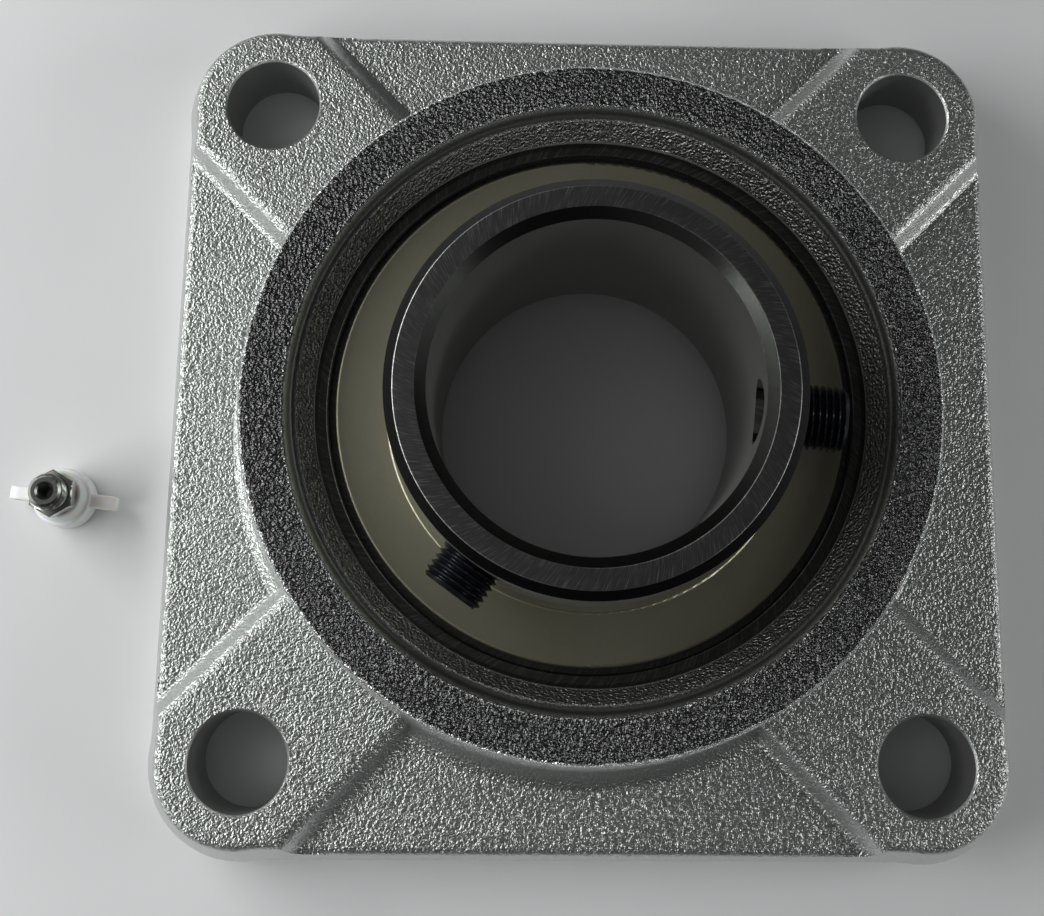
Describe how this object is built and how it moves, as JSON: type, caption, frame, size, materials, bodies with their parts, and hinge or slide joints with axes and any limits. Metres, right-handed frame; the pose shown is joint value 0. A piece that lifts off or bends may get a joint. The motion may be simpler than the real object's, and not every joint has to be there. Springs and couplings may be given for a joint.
{
  "type": "four-bolt flange bearing",
  "caption": "Square cast flange with corner bolt holes, holding a self-aligning ball bearing insert whose wide inner ring locks on a shaft with set screws.",
  "frame": {"origin": "centre of the bolt pattern on the mounting face, on the shaft axis", "axes": "+Z along the shaft axis, away from the mounting face and towards the set screws; X and Y along the flange's sides, with the loose nipple on the -X side"},
  "size_m": [0.1704, 0.143, 0.0546],
  "materials": {
    "cast_housing": "silver coating over sand-cast grain",
    "ground_steel": "ground, lightly scratched",
    "cage_sheet": "pressed sheet, dull",
    "ball_steel": "polished",
    "seal_rubber": "matt",
    "flinger_sheet": "satin olive-grey plating",
    "black_screw": "black oxide, oiled",
    "plated_steel": "bright zinc plating",
    "cap_plastic": "milky, translucent"
  },
  "bodies": {
    "housing": {"housing": "cast_housing"},
    "outer_race": {"outer_ring": "ground_steel", "front_seal_shell": "cage_sheet", "front_seal_lip": "seal_rubber", "back_seal_shell": "cage_sheet", "back_seal_lip": "seal_rubber"},
    "inner_race": {"inner_ring": "ground_steel", "front_flinger": "flinger_sheet", "back_flinger": "flinger_sheet"},
    "cage": {"cage_front_half": "cage_sheet", "cage_back_half": "cage_sheet", "cage_rivets": "cage_sheet"},
    "right_screw": {"set_screw_right": "black_screw"},
    "left_screw": {"set_screw_left": "black_screw"},
    "cap": {"nipple_cap": "cap_plastic"},
    "nipple": {"nipple_body": "plated_steel", "nipple_spring": "ball_steel"},
    "check_ball": {"nipple_check_ball": "ball_steel"},
    "ball_01": {"ball_01": "ball_steel"},
    "ball_02": {"ball_02": "ball_steel"},
    "ball_03": {"ball_03": "ball_steel"},
    "ball_04": {"ball_04": "ball_steel"},
    "ball_05": {"ball_05": "ball_steel"},
    "ball_06": {"ball_06": "ball_steel"},
    "ball_07": {"ball_07": "ball_steel"},
    "ball_08": {"ball_08": "ball_steel"},
    "ball_09": {"ball_09": "ball_steel"},
    "ball_10": {"ball_10": "ball_steel"}
  },
  "joints": [
    {"name": "self_align", "type": "hinge", "parent": "housing", "child": "outer_race", "pos_m": [0, 0, 0.022], "axis": [1, 0, 0], "range_deg": [-2.5, 2.5]},
    {"name": "shaft_spin", "type": "hinge", "parent": "outer_race", "child": "inner_race", "pos_m": [0, 0, 0.022], "axis": [0, 0, 1], "continuous": true},
    {"name": "cage_spin", "type": "hinge", "parent": "outer_race", "child": "cage", "pos_m": [0, 0, 0.022], "axis": [0, 0, 1], "continuous": true},
    {"name": "right_screw_travel", "type": "slide", "parent": "inner_race", "child": "right_screw", "axis": [0.9954, -0.0958, 0], "range_m": [-0.0029, 0.0045]},
    {"name": "left_screw_travel", "type": "slide", "parent": "inner_race", "child": "left_screw", "axis": [-0.5807, -0.8141, 0], "range_m": [-0.0014, 0.006]},
    {"name": "cap_lift", "type": "slide", "parent": "housing", "child": "cap", "axis": [0, 0, 1], "range_m": [0, 0.06]},
    {"name": "nipple_pull", "type": "slide", "parent": "cap", "child": "nipple", "axis": [0, 0, 1], "range_m": [0, 0.012]},
    {"name": "check_ball_push", "type": "slide", "parent": "nipple", "child": "check_ball", "axis": [0, 0, 1], "range_m": [0, 0.0012], "stiffness_N_per_m": 150, "springref_m": -0.0005, "deforming": ["nipple_spring"]},
    {"name": "ball_01_spin", "type": "hinge", "parent": "cage", "child": "ball_01", "pos_m": [0.035, 0, 0.022], "axis": [0, 0, 1], "continuous": true},
    {"name": "ball_02_spin", "type": "hinge", "parent": "cage", "child": "ball_02", "pos_m": [0.02832, 0.02057, 0.022], "axis": [0, 0, 1], "continuous": true},
    {"name": "ball_03_spin", "type": "hinge", "parent": "cage", "child": "ball_03", "pos_m": [0.01082, 0.03329, 0.022], "axis": [0, 0, 1], "continuous": true},
    {"name": "ball_04_spin", "type": "hinge", "parent": "cage", "child": "ball_04", "pos_m": [-0.01082, 0.03329, 0.022], "axis": [0, 0, 1], "continuous": true},
    {"name": "ball_05_spin", "type": "hinge", "parent": "cage", "child": "ball_05", "pos_m": [-0.02832, 0.02057, 0.022], "axis": [0, 0, 1], "continuous": true},
    {"name": "ball_06_spin", "type": "hinge", "parent": "cage", "child": "ball_06", "pos_m": [-0.035, 0, 0.022], "axis": [0, 0, 1], "continuous": true},
    {"name": "ball_07_spin", "type": "hinge", "parent": "cage", "child": "ball_07", "pos_m": [-0.02832, -0.02057, 0.022], "axis": [0, 0, 1], "continuous": true},
    {"name": "ball_08_spin", "type": "hinge", "parent": "cage", "child": "ball_08", "pos_m": [-0.01082, -0.03329, 0.022], "axis": [0, 0, 1], "continuous": true},
    {"name": "ball_09_spin", "type": "hinge", "parent": "cage", "child": "ball_09", "pos_m": [0.01082, -0.03329, 0.022], "axis": [0, 0, 1], "continuous": true},
    {"name": "ball_10_spin", "type": "hinge", "parent": "cage", "child": "ball_10", "pos_m": [0.02832, -0.02057, 0.022], "axis": [0, 0, 1], "continuous": true}
  ],
  "couplings": [
    {"joint": "cage_spin", "follows": "shaft_spin", "ratio": 0.40929},
    {"joint": "ball_01_spin", "follows": "shaft_spin", "ratio": -2.6652},
    {"joint": "ball_02_spin", "follows": "shaft_spin", "ratio": -2.6652},
    {"joint": "ball_03_spin", "follows": "shaft_spin", "ratio": -2.6652},
    {"joint": "ball_04_spin", "follows": "shaft_spin", "ratio": -2.6652},
    {"joint": "ball_05_spin", "follows": "shaft_spin", "ratio": -2.6652},
    {"joint": "ball_06_spin", "follows": "shaft_spin", "ratio": -2.6652},
    {"joint": "ball_07_spin", "follows": "shaft_spin", "ratio": -2.6652},
    {"joint": "ball_08_spin", "follows": "shaft_spin", "ratio": -2.6652},
    {"joint": "ball_09_spin", "follows": "shaft_spin", "ratio": -2.6652},
    {"joint": "ball_10_spin", "follows": "shaft_spin", "ratio": -2.6652}
  ]
}
